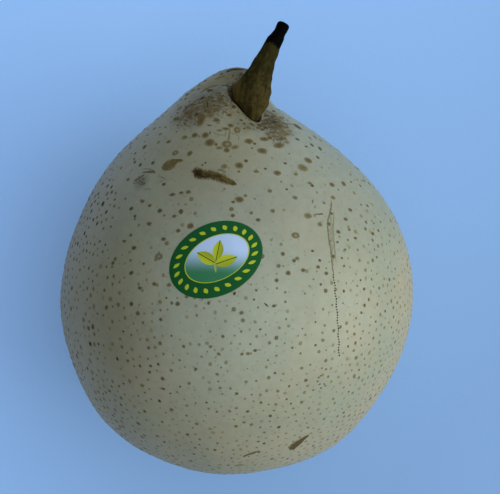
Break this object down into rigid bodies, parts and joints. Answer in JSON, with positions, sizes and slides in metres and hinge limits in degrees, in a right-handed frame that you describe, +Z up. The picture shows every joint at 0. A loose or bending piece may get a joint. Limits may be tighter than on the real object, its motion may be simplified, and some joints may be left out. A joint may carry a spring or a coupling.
{
  "type": "pear",
  "caption": "Whole ya pear lying on its side, with its woody stem and a small oval paper sticker; rests on a small flat spot.",
  "frame": {"origin": "middle of the small flat spot that the pear rests on", "axes": "+Z up, away from the surface that the pear lies on; +Y towards the stem, along the surface; +X to the right of the stem seen from above, the side that the stem leans to"},
  "size_m": [0.0782, 0.0983, 0.0769],
  "materials": {
    "skin": "waxy satin fruit skin, pale yellow-green with brown pores",
    "stem": "dry dark bark, blackened at the cut tip",
    "label": "thin glossy printed paper sticker, dark green with a pale middle"
  },
  "bodies": {
    "root": {"fruit": "skin", "stem": "stem", "label": "label"}
  },
  "joints": []
}
